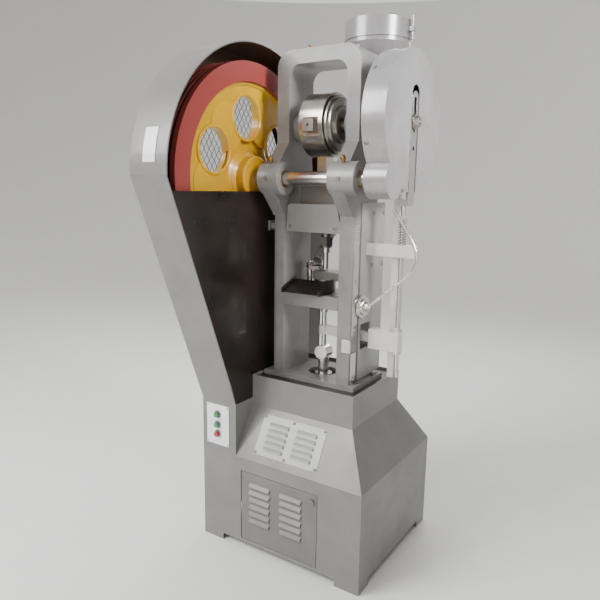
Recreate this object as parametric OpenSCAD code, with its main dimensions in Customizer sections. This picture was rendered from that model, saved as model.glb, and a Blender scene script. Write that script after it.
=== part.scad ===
/* [Base cabinet] */
// Width of the lower box
box_w = 736; // [600:1:900]
// Depth of the lower box
box_d = 624; // [500:1:800]
// Height of the lower box
box_h = 392; // [330:1:480]
// Thickness of the sheet metal
sheet_t = 3; // [2:0.5:4]
// Height of the corner feet
foot_h = 28; // [15:1:40]
// Width of the corner feet
foot_w = 102; // [60:1:140]
// Height of the sloping section
incline_h = 185; // [150:1:220]
// How far the collar stands in from the front and the back
collar_inset = 110; // [80:1:125]
// How far the collar reaches past the frame on the right
collar_margin = 65; // [45:1:80]
// Height of the collar
collar_h = 127; // [100:1:160]
// Width of the control column, and of the flywheel guard above it
column_w = 171; // [160:1:200]
// Height of the control column's top edge
column_h = 606; // [560:1:640]

/* [Shafts] */
// Radius of the flywheel guard
guard_r = 492; // [470:1:560]
// Radius of the flywheel
flywheel_r = 430; // [380:1:440]
// Width of the flywheel's rim
flywheel_w = 103; // [80:1:110]
// Depth of the flywheel's face inside the guard
flywheel_recess = 25; // [20:1:40]
// Distance of the drive shaft in front of the cabinet's centre
drive_front = 161; // [150:1:170]
// Height of the drive shaft
drive_z = 1484; // [1460:1:1500]
// Radius of the drive shaft
drive_r = 27; // [22:1:32]
// Radius of the main shaft
main_r = 30; // [26:1:34]
// Eccentric throw, half the upper punch's stroke
throw_e = 20; // [12:1:24]
// Running clearance between a shaft and its bore, on the radius
run_gap = 0.05; // [0.02:0.01:0.1]
// Gap between parts that pass each other
pass_gap = 0.5; // [0.3:0.1:1]

/* [Frame] */
// Half the gap between the two columns
gap_half = 124; // [115:1:135]
// Thickness of each column
leg_w = 54; // [45:1:62]
// Gap between the flywheel guard and the frame
frame_gap = 41; // [30:1:48]
// Height of the top of the arch
arch_top = 1955; // [1930:1:2000]
// Height of the underside of the arch
arch_under = 1903; // [1890:1:1910]
// Radius of the drive shaft bosses
boss_r = 62; // [50:1:70]

/* [Tooling] */
// Height of the top of the die table
table_z = 1047; // [1020:1:1060]
// Thickness of the die table
table_t = 50; // [35:1:60]
// Height of the die's top face
die_z = 1128; // [1115:1:1135]
// Radius of the punches
punch_r = 12; // [8:0.5:15]
// Height of the upper punch's tip at mid stroke
punch_tip_z = 1135; // [1130:1:1150]
// Lift of the lower punch
lift = 12; // [8:1:12]
// Radius of the lower punch rod
rod_r = 10; // [8:1:11]
// Radius of the lift rod at the side
lift_r = 9; // [7:1:11]

/* [Hidden] */
$fn = 64;

guard_x0 = -box_w / 2;
guard_x1 = guard_x0 + column_w;
box_y = box_d / 2;
incline_z = box_h + incline_h;
collar_z = incline_z + collar_h;
collar_y = box_y - collar_inset;
frame_x = guard_x1 + frame_gap + leg_w + gap_half;
collar_x1 = frame_x + gap_half + leg_w + collar_margin;
incline_tilt = atan(collar_inset / incline_h);

gear_m = 5;
pinion_n = 18;
gear_n = 82;
drive_y = -drive_front;
gear_gap = gear_m * (pinion_n + gear_n) / 2;
gear_turn = atan2(4, 3);
main_y = drive_y + gear_gap * cos(gear_turn);
main_z = drive_z + gear_gap * sin(gear_turn);
strap_y = main_y - throw_e;

fly_x1 = guard_x1 - flywheel_recess;
fly_x0 = fly_x1 - flywheel_w;
fly_rim_r = flywheel_r * 0.83;
fly_hub_r = 85;
belt_x = [fly_x0 + 18, fly_x0 + 42, fly_x0 + 66];
groove_d = 10;
pulley_r = 70;
motor_z = 230;

leg_in_l = frame_x - gap_half;
leg_in_r = frame_x + gap_half;
leg_out_l = leg_in_l - leg_w;
leg_out_r = leg_in_r + leg_w;
leg_front = -125;
arch_front = -100;
frame_back = 70;
bed_z = collar_z - 10;
foot_top = bed_z + 18;
guide_y0 = -98;

gg_x0 = leg_out_r + 90;
gg_x1 = gg_x0 + 82;
gg_r = gear_n * gear_m / 2 + 40;
gg_small_r = 68;
gear_x0 = gg_x0 + 14;
gear_w = 35;
slot_w = 64;
slot_top = main_z + 126;
bar_x0 = gg_x1 - 11;
bar_x1 = gg_x1 - 1;

rod_len = 250;
slide_z0 = 1290;
slide_z1 = main_z - 184;
slide_half = 70;
cover_z0 = 1284;
cover_z1 = 1391;

lift_x = gg_x1 - 28;
lift_z = 887;
die_r = 25;
lower_tip = punch_tip_z - throw_e - lift - 3;
shoe_x = leg_in_l + 30;
shoe_y = 25;
lever_y = -55;
lever_z = 1012;
plate_x1 = leg_out_r + 6;

door_x0 = guard_x1 + 29;
door_x1 = box_w / 2 - 182;
door_z0 = 44;
door_z1 = box_h - 56;
door_axis_x = door_x0 + 4;
door_axis_y = -box_y + 5;
latch_x = door_x1 - 21;
latch_z = door_z1 - 30;
button_x = (guard_x0 + guard_x1) / 2 - 6;
button_z = [column_h - 58, column_h - 101, column_h - 140];

hop_x = frame_x + 93;
hop_y = 192;
hop_r = 126;
hop_z0 = arch_top - 155;
hop_z1 = arch_top + 45;
hop_wall = 3;
spout_r = 24;
spout_wall = 2;
pipe_r = 19;
pipe_wall = 3;
pipe_bore = pipe_r - pipe_wall;
collar_drop = 18;
bend_ball = 1.15;
pipe_top = [hop_x, hop_y, hop_z0 - 8];
pipe_x = frame_x - 52;
pipe_bend = [pipe_x, 120, 1270];
pipe_end = [pipe_x, 12, 1164];
pipe_out = [pipe_x, 0, 1152.2];
boss_screw_x = [leg_in_l - 20, leg_in_r + 42];
boss_screw_r = 7;
spot_face_d = 2;
bolt_head_h = 9;
label_gap = 0.5;
label_t = 1.5;
label_w = 57;
label_x0 = guard_x0 + 62;
label_low = 4.9;
label_high = 18.3;

sheet_grey = "#a4a29e";
cast_grey = "#b9b7b5";
steel = "#c9c7c3";
dark = "#2a2320";

module slab(x0, x1, y0, y1, z0, z1) {
    translate([x0, y0, z0]) cube([x1 - x0, y1 - y0, z1 - z0]);
}

// A cylinder along X, Y or Z
module xcyl(r, x0, x1, y, z) { translate([x0, y, z]) rotate([0, 90, 0]) cylinder(r = r, h = x1 - x0); }
module ycyl(r, y0, y1, x, z) { translate([x, y1, z]) rotate([90, 0, 0]) cylinder(r = r, h = y1 - y0); }
module zcyl(r, z0, z1, x, y) { translate([x, y, z0]) cylinder(r = r, h = z1 - z0); }

// An outline drawn in Y and Z, extruded along X
module yz(x0, x1) { translate([x0, 0, 0]) rotate([90, 0, 90]) linear_extrude(x1 - x0) children(); }

// An outline drawn in X and Z, extruded along Y
module xz(y0, y1) { translate([0, y1, 0]) rotate([90, 0, 0]) linear_extrude(y1 - y0) children(); }

// A round bar between two points
module bar(a, b, r) {
    v = b - a;
    translate(a) rotate([0, acos(v[2] / norm(v)), atan2(v[1], v[0])]) cylinder(r = r, h = norm(v));
}

// A round bar that follows a list of points, with a slightly fuller ball at each bend
module bent_bar(points, r) {
    for (i = [0 : len(points) - 2]) bar(points[i], points[i + 1], r);
    for (i = [1 : len(points) - 2]) translate(points[i]) sphere(r = r * bend_ball);
}

// A hexagon prism along Z, measured across its corners
module hex(r, z0, z1, x, y) { translate([x, y, z0]) cylinder(r = r, h = z1 - z0, $fn = 6); }

// A rectangle with its two upper corners rounded, drawn in X and Z
module round_top(x0, x1, z0, z1, r) {
    translate([x0, z0]) square([x1 - x0, z1 - z0 - r]);
    translate([x0 + r, z0]) square([x1 - x0 - 2 * r, z1 - z0]);
    for (x = [x0 + r, x1 - r]) translate([x, z1 - r]) circle(r = r);
}

// One louvre: a pressed hood, open below, standing out of a panel whose face is y = 0
module louvre_hood(w) {
    difference() {
        yz(-w / 2, w / 2) polygon([[0, 16], [-9, 3], [-9, 0], [0, 0]]);
        yz(-w / 2 + 2, w / 2 - 2) polygon([[1, 14], [-7, 2], [-7, -1], [1, -1]]);
    }
}

module louvre_slot(w) { slab(-w / 2 + 3, w / 2 - 3, -1, sheet_t + 1, 1, 12); }

// The sloping section and the box below it, shrunk by t all round
module incline_hull(t) {
    hull() {
        slab(guard_x1 + t, box_w / 2 - t, -box_y + t, box_y - t, box_h - 2, box_h);
        slab(guard_x1 + t, collar_x1 - t, -collar_y + t, collar_y - t, incline_z - 1, incline_z);
    }
}

module cabinet_body(t, z0) {
    slab(guard_x0 + t, box_w / 2 - t, -box_y + t, box_y - t, z0, box_h);
    slab(guard_x0 + t, guard_x1 - t, -box_y + t, box_y - t, z0, column_h);
    incline_hull(t);
    slab(guard_x1 + t, collar_x1 - t, -collar_y + t, collar_y - t, incline_z - 1, collar_z);
}

module base_cabinet() {
    color(sheet_grey) difference() {
        cabinet_body(0, 0);
        difference() {
            cabinet_body(sheet_t, -1);
            slab(guard_x1, box_w / 2 + 1, -box_y - 1, -box_y + sheet_t, -1, box_h);
        }
        slab(guard_x0 + sheet_t, guard_x1 - sheet_t, -box_y + sheet_t, box_y - sheet_t, 100, column_h + 1);
        slab(guard_x1 + sheet_t, collar_x1 - sheet_t, -collar_y + sheet_t, collar_y - sheet_t,
            incline_z, collar_z + 1);
        slab(-box_w / 2 + foot_w, box_w / 2 - foot_w, -box_y - 1, box_y + 1, -1, foot_h);
        slab(-box_w / 2 - 1, box_w / 2 + 1, -box_y + 80, box_y - 80, -1, foot_h);
        slab(door_x0 - 4, door_x1 + 2, -box_y - 1, -box_y + sheet_t + 1, door_z0 - 2, door_z1 + 2);
        translate([0, -box_y, box_h]) rotate([-incline_tilt, 0, 0])
            slab(frame_x - 122, frame_x + 128, -20, 40, 44, 172);
        for (z = button_z) ycyl(12, -box_y - 1, -box_y + sheet_t + 1, button_x, z);
    }
}

module inner_stand() {
    color("#3b3a38") {
        for (x = [collar_x1 - 75, guard_x1 + 44], y = [-collar_y + 27, collar_y - 77])
            slab(x, x + 50, y, y + 50, 0, bed_z - 8);
        for (x = [collar_x1 - 75, guard_x1 + 44]) slab(x, x + 50, -collar_y + 77, collar_y - 77, 0, 10);
        slab(guard_x1 + 94, collar_x1 - 75, -25, 25, 0, 10);
        for (y = [-collar_y + 27, collar_y - 77])
            slab(guard_x1 + 94, collar_x1 - 75, y, y + 50, 70, 95);
        slab(guard_x1 + 94, collar_x1 - 75, -collar_y + 77, collar_y - 77, 83, 95);
    }
}

module louvre_panel() {
    color("#d0d0ce") translate([0, -box_y, box_h]) rotate([-incline_tilt, 0, 0]) translate([0, -2, 0]) {
        cols = [frame_x - 60, frame_x + 68];
        difference() {
            slab(frame_x - 142, frame_x + 148, 0, 2, 30, 190);
            for (x = cols, i = [0 : 4]) translate([x, 0, 52 + 24 * i]) louvre_slot(88);
        }
        for (x = cols, i = [0 : 4]) translate([x, 0, 52 + 24 * i]) louvre_hood(88);
    }
}

module cabinet_door() {
    color("#908e8a") translate([0, -box_y, 0]) {
        mid = (door_x0 + door_x1) / 2;
        cols = [mid - 88, mid + 59];
        pitch = (door_z1 - door_z0 - 110) / 6;
        difference() {
            union() {
                slab(door_x0, door_x1, 0, sheet_t, door_z0, door_z1);
                slab(door_x0 + 20, door_x1 - 8, sheet_t, 12, door_z0 + 4, door_z0 + 7);
                slab(door_x0 + 20, door_x1 - 8, sheet_t, 12, door_z1 - 7, door_z1 - 4);
                for (z = [door_z0, door_z1 - 20]) zcyl(5, z, z + 20, door_axis_x, 5);
            }
            for (x = cols, i = [0 : 5]) translate([x, 0, door_z0 + 84 + pitch * i]) louvre_slot(98);
            zcyl(3 + run_gap, door_z0 - 1, door_z0 + 16, door_axis_x, 5);
            zcyl(3 + run_gap, door_z1 - 16, door_z1 + 1, door_axis_x, 5);
            ycyl(9 + run_gap, -1, sheet_t + 1, latch_x, latch_z);
        }
        for (x = cols, i = [0 : 5]) translate([x, 0, door_z0 + 84 + pitch * i]) louvre_hood(98);
    }
}

module door_pivots() {
    color(steel) {
        zcyl(3, door_z0 - 2, door_z0 + 14, door_axis_x, door_axis_y);
        slab(door_x0 - 18, door_x0 + 10, -box_y + sheet_t, door_axis_y + 6, door_z0 - 9, door_z0 - 2);
        zcyl(3, door_z1 - 14, door_z1 + 2, door_axis_x, door_axis_y);
        slab(door_x0 - 18, door_x0 + 10, -box_y + sheet_t, door_axis_y + 6, door_z1 + 2, door_z1 + 9);
    }
}

module door_latch() {
    color(steel) {
        ycyl(9, -box_y - 4, -box_y + 10, latch_x, latch_z);
        ycyl(11, -box_y - 7, -box_y - 1, latch_x, latch_z);
        slab(latch_x - 6, latch_x + 6, -box_y + 6, -box_y + 9, latch_z - 16, latch_z + 10);
    }
}

module control_plate() {
    color("#ecebea") difference() {
        slab(guard_x0 + 22, guard_x1 - 35, -box_y - 2, -box_y, column_h - 188, column_h - 18);
        for (z = button_z) ycyl(12, -box_y - 3, -box_y + 1, button_x, z);
    }
}

module button_bezels() {
    color("#8d8f90") for (z = button_z) difference() {
        ycyl(14, -box_y - 6, -box_y - 2, button_x, z);
        ycyl(10 + pass_gap, -box_y - 7, -box_y - 1, button_x, z);
    }
}

module push_button(i) {
    ycyl(10, -box_y - 13, -box_y + 12, button_x, button_z[i]);
}
module start_button() { color("#1f9a5a") push_button(0); }
module jog_button() { color("#2aa35f") push_button(1); }
module stop_button() { color("#c8242c") push_button(2); }

module switch_blocks() {
    color("#4a4a4c") for (z = button_z) difference() {
        slab(button_x - 16, button_x + 16, -box_y + sheet_t, -box_y + 62, z - 16, z + 16);
        ycyl(12, -box_y, -box_y + 22, button_x, z);
    }
}

// The guard's side outline, shrunk by t: a half circle on a body that narrows to the control column
module guard_outline(x0, x1, t) {
    r = guard_r - t;
    intersection() {
        xcyl(r, x0, x1, drive_y, drive_z);
        slab(x0, x1, drive_y - r, drive_y + r, drive_z - 1, drive_z + r);
    }
    yz(x0, x1) polygon([[drive_y - r, drive_z], [-box_y + t, column_h], [box_y - t, column_h],
        [drive_y + r, drive_z]]);
}

module flywheel_guard() {
    color(sheet_grey) difference() {
        guard_outline(guard_x0, guard_x1, 0);
        guard_outline(guard_x0 + sheet_t, guard_x1 + 1, sheet_t);
        slab(guard_x0 + sheet_t, guard_x1 + 1, -box_y + sheet_t, box_y - sheet_t, column_h - 1, column_h + 5);
        xcyl(380, guard_x0 - 1, guard_x0 + sheet_t + 1, drive_y, drive_z);
    }
}

module guard_mesh() {
    color("#3c4a52") {
        difference() {
            xcyl(396, guard_x0 + sheet_t, guard_x0 + sheet_t + 3, drive_y, drive_z);
            xcyl(376, guard_x0 + sheet_t - 1, guard_x0 + sheet_t + 4, drive_y, drive_z);
        }
        xcyl(378, guard_x0 + sheet_t + 0.5, guard_x0 + sheet_t + 2.5, drive_y, drive_z);
    }
}

module guard_inner_panel() {
    color(dark) intersection() {
        guard_outline(guard_x1 - 3, guard_x1, sheet_t + 0.3);
        slab(guard_x1 - 4, guard_x1 + 1, drive_y - guard_r, drive_y + guard_r, column_h + 1, drive_z - 49);
    }
}

module guard_stay() {
    color("#6f6b68") {
        slab(guard_x1, leg_out_l, -86, -74, 1290, 1312);
        slab(guard_x1, guard_x1 + 6, -100, -60, 1282, 1320);
    }
    color(steel) ycyl(6, -92, -86, leg_out_l - 20, 1301);
}

module guard_nameplate() {
    color("#f4f3f4") intersection() {
        difference() {
            xcyl(guard_r + label_gap + label_t, label_x0, label_x0 + label_w, drive_y, drive_z);
            xcyl(guard_r + label_gap, label_x0 - 1, label_x0 + label_w + 1, drive_y, drive_z);
        }
        yz(label_x0 - 1, label_x0 + label_w + 1) polygon([[drive_y, drive_z],
            for (a = [label_low, label_high]) [drive_y - 2 * guard_r * cos(a), drive_z + 2 * guard_r * sin(a)]]);
    }
}

// The side outline of the frame, with the drive shaft's bosses leaning forward
module leg_outline(x0, x1) {
    yz(x0, x1) polygon([[leg_front, foot_top - 1], [leg_front, 1350], [drive_y - 45, 1442], [drive_y, 1546],
        [arch_front, 1620], [arch_front, arch_top], [frame_back, arch_top], [frame_back, foot_top - 1]]);
}

module frame_casting() {
    color(cast_grey) difference() {
        union() {
            difference() {
                intersection() {
                    leg_outline(leg_out_l, leg_out_r);
                    xz(-400, 300) round_top(leg_out_l, leg_out_r, foot_top - 2, arch_top, 62);
                }
                xz(-401, 301) round_top(leg_in_l, leg_in_r, foot_top - 3, arch_under, 46);
                slab(leg_out_l - 1, leg_out_l + 20, leg_front - 1, leg_front + 13, foot_top, 1345);
                slab(leg_in_r - 1, leg_out_r + 1, -50, 30, lift_z - 48, lift_z + 52);
            }
            slab(leg_in_l - 1, leg_in_r + 1, frame_back - 20, frame_back, 1350, 1500);
            slab(leg_out_l - 30, leg_out_r + 30, leg_front - 13, frame_back + 40, bed_z, foot_top);
            xcyl(boss_r, leg_out_l - 7, leg_in_l + 29, drive_y, drive_z);
            xcyl(boss_r, leg_in_r - 6, leg_out_r + 45, drive_y, drive_z);
            xcyl(58, leg_out_l - 6, leg_in_l + 38, main_y, main_z);
            xcyl(58, leg_in_r - 26, leg_out_r + 14, main_y, main_z);
        }
        xcyl(drive_r + 6, leg_out_l - 8, leg_out_r + 46, drive_y, drive_z);
        xcyl(main_r + 6, leg_out_l - 8, leg_out_r + 46, main_y, main_z);
        xcyl(8 + run_gap, leg_out_r - 30, leg_out_r + 1, lever_y, lever_z);
        for (x = boss_screw_x)
            ycyl(boss_screw_r + pass_gap, drive_y - boss_r - 6, drive_y - boss_r + spot_face_d, x, drive_z);
        zcyl(60, bed_z - 1, foot_top + 1, frame_x, main_y);
        for (x = [leg_out_l - 15, leg_out_r + 15], y = [-75, 55]) zcyl(7, bed_z - 1, foot_top + 1, x, y);
    }
}

module bed_plate() {
    color(dark) difference() {
        slab(guard_x1 + sheet_t, collar_x1 - sheet_t, -collar_y + sheet_t, collar_y - sheet_t,
            bed_z - 8, bed_z);
        zcyl(30, bed_z - 9, bed_z + 1, frame_x, main_y);
        for (x = [leg_out_l - 15, leg_out_r + 15], y = [-75, 55]) zcyl(7, bed_z - 9, bed_z + 1, x, y);
    }
}

module frame_bolts() {
    color("#77736e") for (x = [leg_out_l - 15, leg_out_r + 15], y = [-75, 55]) {
        zcyl(6.8, bed_z - 20, foot_top, x, y);
        hex(12, foot_top, foot_top + bolt_head_h, x, y);
        hex(12, bed_z - 17, bed_z - 8, x, y);
    }
}

module bush(r, x0, x1, y, z) {
    difference() {
        xcyl(r + 6, x0, x1, y, z);
        xcyl(r + run_gap, x0 - 1, x1 + 1, y, z);
    }
}

module drive_bushes() {
    color("#b08d57") {
        bush(drive_r, leg_out_l - 7, leg_in_l + 29, drive_y, drive_z);
        bush(drive_r, leg_in_r - 6, leg_out_r + 45, drive_y, drive_z);
    }
}

module main_bushes() {
    color("#b08d57") {
        bush(main_r, leg_out_l - 6, leg_in_l + 38, main_y, main_z);
        bush(main_r, leg_in_r - 26, leg_out_r + 14, main_y, main_z);
    }
}

module boss_screws() {
    color(steel) for (x = boss_screw_x) {
        ycyl(boss_screw_r, drive_y - boss_r - 5, drive_y - boss_r + spot_face_d, x, drive_z);
        zcyl(5, arch_top, arch_top + 6, x + (x < 0 ? 0 : -40), -30);
    }
}

// The belt grooves are square channels round the rim
module flywheel() {
    color("#b4544e") difference() {
        xcyl(flywheel_r, fly_x0, fly_x1, drive_y, drive_z);
        xcyl(fly_rim_r, fly_x0 - 1, fly_x1 + 1, drive_y, drive_z);
        for (x = belt_x) difference() {
            xcyl(flywheel_r + 1, x, x + 14, drive_y, drive_z);
            xcyl(flywheel_r - groove_d, x - 1, x + 15, drive_y, drive_z);
        }
    }
    color("#c8940a") difference() {
        translate([0, drive_y, drive_z]) rotate([0, 90, 0]) union() {
            rotate_extrude() polygon([[drive_r, fly_x1 + 17], [fly_hub_r - 6, fly_x1 + 17],
                [fly_hub_r, fly_x1 + 11], [fly_hub_r, fly_x1 - 22], [fly_hub_r + 26, fly_x1 - 40],
                [fly_rim_r + 1, fly_x1 - 22], [fly_rim_r + 1, fly_x1 - 40], [fly_hub_r + 24, fly_x1 - 58],
                [fly_hub_r, fly_x1 - 70], [fly_hub_r, fly_x0 + 6], [drive_r, fly_x0 + 6]]);
            for (i = [0 : 5]) rotate([0, 0, 65 + 60 * i]) translate([0, 228, fly_x1 - 56])
                cylinder(r = 90, h = 34);
        }
        for (i = [0 : 5]) xcyl(80, fly_x0 - 5, fly_x1 + 5, drive_y - 228 * cos(25 + 60 * i),
            drive_z + 228 * sin(25 + 60 * i));
        xcyl(drive_r, fly_x0 - 5, fly_x1 + 20, drive_y, drive_z);
    }
}

module drive_shaft() {
    color(steel) {
        xcyl(drive_r, fly_x0 + 4, gear_x0 + gear_w + 10, drive_y, drive_z);
        xcyl(drive_r + 9, fly_x0 - 6, fly_x0 + 4, drive_y, drive_z);
        xcyl(drive_r + 9, gear_x0 + gear_w, gear_x0 + gear_w + 8, drive_y, drive_z);
    }
}

// Points of a spur gear with straight-sided teeth, thinned for backlash
function gear_points(n, tip, root) = [for (i = [0 : n - 1], c = [[root, -4.1], [tip, -1.6], [tip, 1.6], [root, 4.1]])
    let (a = 360 * i / n + c[1] / c[0] * 57.2958) c[0] * [cos(a), sin(a)]];

module spur(n, turn, x0, x1, y, z) {
    r = gear_m * n / 2;
    translate([0, y, z]) yz(x0, x1) rotate(turn) polygon(gear_points(n, r + 4.2, r - 6));
}

module drive_pinion() {
    color("#8f8c88") difference() {
        spur(pinion_n, gear_turn, gear_x0, gear_x0 + gear_w, drive_y, drive_z);
        xcyl(drive_r, gear_x0 - 1, gear_x0 + gear_w + 1, drive_y, drive_z);
    }
}

// The outline of one belt round both wheels, standing off the groove bottoms by d
module belt_outline(d) {
    hull() {
        translate([drive_y, drive_z]) circle(r = flywheel_r - groove_d + d, $fn = 120);
        translate([0, motor_z]) circle(r = pulley_r - groove_d + d, $fn = 120);
    }
}

module drive_belts() {
    color("#1d1c1c") for (x = belt_x) yz(x + 1, x + 13) difference() {
        belt_outline(9);
        belt_outline(1);
    }
}

module main_shaft() {
    color(steel) {
        xcyl(main_r, leg_out_l - 16, gear_x0 + gear_w + 3, main_y, main_z);
        xcyl(9, gear_x0 + gear_w, gg_x1 + 22, main_y, main_z);
        xcyl(main_r + 8, leg_out_l - 16, leg_out_l - 7, main_y, main_z);
        xcyl(85, frame_x - 52, frame_x + 52, strap_y, main_z);
        xcyl(108, frame_x + 53, frame_x + 62, strap_y, main_z);
        xcyl(98, frame_x + 51, frame_x + 74, strap_y, main_z);
        xcyl(70, frame_x + 73, frame_x + 82, strap_y, main_z);
    }
}

module main_gear() {
    color("#8f8c88") difference() {
        union() {
            difference() {
                spur(gear_n, gear_turn + 180 + 180 / gear_n, gear_x0, gear_x0 + gear_w, main_y, main_z);
                for (s = [-1, 1]) translate([s * gear_w * 0.7, 0, 0]) difference() {
                    xcyl(180, gear_x0, gear_x0 + gear_w, main_y, main_z);
                    xcyl(52, gear_x0 - 1, gear_x0 + gear_w + 1, main_y, main_z);
                }
            }
        }
        xcyl(main_r, gear_x0 - 1, gear_x0 + gear_w + 1, main_y, main_z);
        for (i = [0 : 4]) xcyl(36, gear_x0 - 1, gear_x0 + gear_w + 1, main_y + 118 * cos(72 * i),
            main_z + 118 * sin(72 * i));
    }
}

module lift_cam() {
    color("#9a9690") difference() {
        xcyl(42, gear_x0 + gear_w + 4, gear_x0 + gear_w + 16, main_y + 8, main_z);
        xcyl(9, gear_x0 + gear_w + 3, gear_x0 + gear_w + 17, main_y, main_z);
    }
}

module main_shaft_nut() {
    color(steel) difference() {
        union() {
            xcyl(26, gg_x1 + 1, gg_x1 + 4, main_y, main_z);
            translate([gg_x1 + 4, main_y, main_z]) rotate([0, 90, 0]) cylinder(r = 20, h = 14, $fn = 6);
        }
        xcyl(9, gg_x1, gg_x1 + 19, main_y, main_z);
    }
}

// The strap rides on the eccentric, and its rod hangs down into the slide
module eccentric_strap() {
    color(steel) difference() {
        union() {
            xcyl(118, frame_x - 50, frame_x + 50, strap_y, main_z);
            slab(frame_x - 20, frame_x + 20, strap_y - 27, strap_y + 27, main_z - rod_len, main_z - 90);
            xcyl(30, frame_x - 20, frame_x + 20, strap_y, main_z - rod_len);
        }
        xcyl(85 + run_gap, frame_x - 51, frame_x + 51, strap_y, main_z);
        slab(frame_x - 30, frame_x + 34, strap_y - 130, strap_y - 104, main_z - 44, main_z + 20);
    }
    color("#aaa69f") xcyl(16, frame_x - 24, frame_x + 24, strap_y, main_z - rod_len);
}

module strap_lock_block() {
    color("#dad8d4") difference() {
        slab(frame_x - 28, frame_x + 20, strap_y - 128, strap_y - 104, main_z - 30, main_z + 14);
        ycyl(5, strap_y - 129, strap_y - 118, frame_x - 4, main_z - 8);
    }
}

module slide_block() {
    color("#9c9994") difference() {
        slab(frame_x - slide_half, frame_x + slide_half, main_y - 79, main_y + 59, slide_z0, slide_z1);
        slab(frame_x - 28, frame_x + 28, main_y - 62, main_y + 54, slide_z0 + 62, slide_z1 + 1);
    }
}

module slide_guides() {
    color("#a7a39e") for (s = [0, 1]) {
        x0 = s ? frame_x + slide_half + pass_gap : leg_in_l;
        x1 = s ? leg_in_r : frame_x - slide_half - pass_gap;
        slab(x0, x1, guide_y0, 50, slide_z0 + 10, slide_z1);
    }
}

module slide_cover() {
    color("#bdbbb7") xz(guide_y0 - 12, guide_y0) polygon([[leg_in_l, cover_z0], [leg_in_r, cover_z0],
        [leg_in_r - 24, cover_z1 - 6], [leg_in_r - 32, cover_z1], [leg_in_l + 16, cover_z1], [leg_in_l + 4, cover_z1 - 8]]);
    color(steel) for (x = [leg_in_l + 20, leg_in_r - 30]) ycyl(5, guide_y0 - 15, guide_y0 - 12, x, cover_z0 + 20);
}

module punch_holder() {
    color("#b5aca4") {
        zcyl(19, slide_z0 - 28, slide_z0, frame_x, main_y);
        hex(29, slide_z0 - 62, slide_z0 - 28, frame_x, main_y);
        zcyl(22, slide_z0 - 70, slide_z0 - 62, frame_x, main_y);
    }
}

module upper_punch() {
    color(steel) {
        zcyl(punch_r, punch_tip_z, slide_z0 - 70, frame_x, main_y);
        zcyl(punch_r + 5, slide_z0 - 90, slide_z0 - 70, frame_x, main_y);
    }
}

module die_table() {
    color(cast_grey) difference() {
        slab(leg_in_l, leg_in_r, leg_front - 3, frame_back - 10, table_z - table_t, table_z);
        zcyl(20, table_z - table_t - 1, table_z + 1, frame_x, main_y);
    }
}

module die_holder() {
    color(steel) difference() {
        union() {
            slab(frame_x - 34, leg_in_r, main_y - 42, main_y + 42, die_z - 32, die_z);
            zcyl(42, table_z, die_z - 30, frame_x, main_y);
        }
        zcyl(die_r, die_z - 40, die_z + 1, frame_x, main_y);
        zcyl(20, table_z - 1, die_z, frame_x, main_y);
    }
}

module die() {
    color("#d8d6d2") difference() {
        zcyl(die_r, die_z - 40, die_z, frame_x, main_y);
        zcyl(punch_r + run_gap, die_z - 41, die_z + 1, frame_x, main_y);
    }
}

// A sloping tray between two rails, running down over the table's front edge
module tablet_chute() {
    x0 = leg_in_l + 14;
    y0 = leg_front - 30;
    y1 = main_y - 44;
    x1 = frame_x + 52;
    rise = die_z - 36 - table_z - 8;
    color("#231d1b") yz(x0, x1) polygon([[y0, table_z + 3], [y1, table_z + 3 + rise], [y1, table_z + 6 + rise], [y0, table_z + 6]]);
    color(steel) for (x = [x0 - 5, x1]) yz(x, x + 5)
        polygon([[y0, table_z], [y1, table_z], [y1, table_z + 18 + rise], [y0, table_z + 18]]);
}

module feed_shoe() {
    color("#d2d0cc") difference() {
        union() {
            zcyl(17, die_z + 1, die_z + 22, shoe_x, shoe_y);
            translate([0, 0, die_z + 1]) linear_extrude(16)
                polygon([[shoe_x, shoe_y + 15], [shoe_x - 6, shoe_y - 14], [frame_x - 62, main_y - 30],
                    [frame_x - 20, main_y - 18], [frame_x - 20, main_y + 26], [frame_x - 62, main_y + 40]]);
        }
        zcyl(8 + run_gap, die_z, die_z + 30, shoe_x, shoe_y);
        translate([0, 0, die_z + 4]) linear_extrude(20)
            polygon([[frame_x - 58, main_y - 22], [frame_x - 24, main_y - 13], [frame_x - 24, main_y + 21], [frame_x - 58, main_y + 28]]);
    }
}

module shoe_pivot() {
    color(steel) {
        zcyl(8, table_z, die_z + 30, shoe_x, shoe_y);
        zcyl(14, table_z, die_z, shoe_x, shoe_y);
    }
}

module lower_guide() {
    color(steel) difference() {
        union() {
            zcyl(36, bed_z, bed_z + 12, frame_x, main_y);
            zcyl(22, bed_z, 776, frame_x, main_y);
            ycyl(28, main_y - 26, main_y + 26, frame_x, 794);
        }
        zcyl(rod_r + run_gap, bed_z - 1, 840, frame_x, main_y);
    }
}

module lower_punch() {
    color(steel) {
        zcyl(rod_r, bed_z + 6, die_z - 60, frame_x, main_y);
        zcyl(punch_r, die_z - 60, lower_tip, frame_x, main_y);
        zcyl(rod_r + 5, 960, 975, frame_x, main_y);
    }
}

module lift_arm() {
    color("#e3e0dd") difference() {
        union() {
            slab(frame_x, lift_x - 100, main_y - 14, main_y + 10, lift_z - 18, lift_z + 18);
            zcyl(21, lift_z - 18, lift_z + 18, frame_x, main_y);
            slab(lift_x - 106, lift_x + 16, main_y - 34, main_y + 11, lift_z - 37, lift_z + 38);
        }
        zcyl(rod_r, lift_z - 19, lift_z + 19, frame_x, main_y);
        zcyl(lift_r, lift_z - 38, lift_z + 39, lift_x, main_y);
    }
}

module lift_rod() {
    color(steel) {
        zcyl(lift_r, 745, 1410, lift_x, main_y);
        zcyl(lift_r + 7, 1340, 1352, lift_x, main_y);
        hex(lift_r + 8, lift_z + 38, lift_z + 52, lift_x, main_y);
        hex(lift_r + 8, lift_z - 51, lift_z - 37, lift_x, main_y);
    }
}

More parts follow.
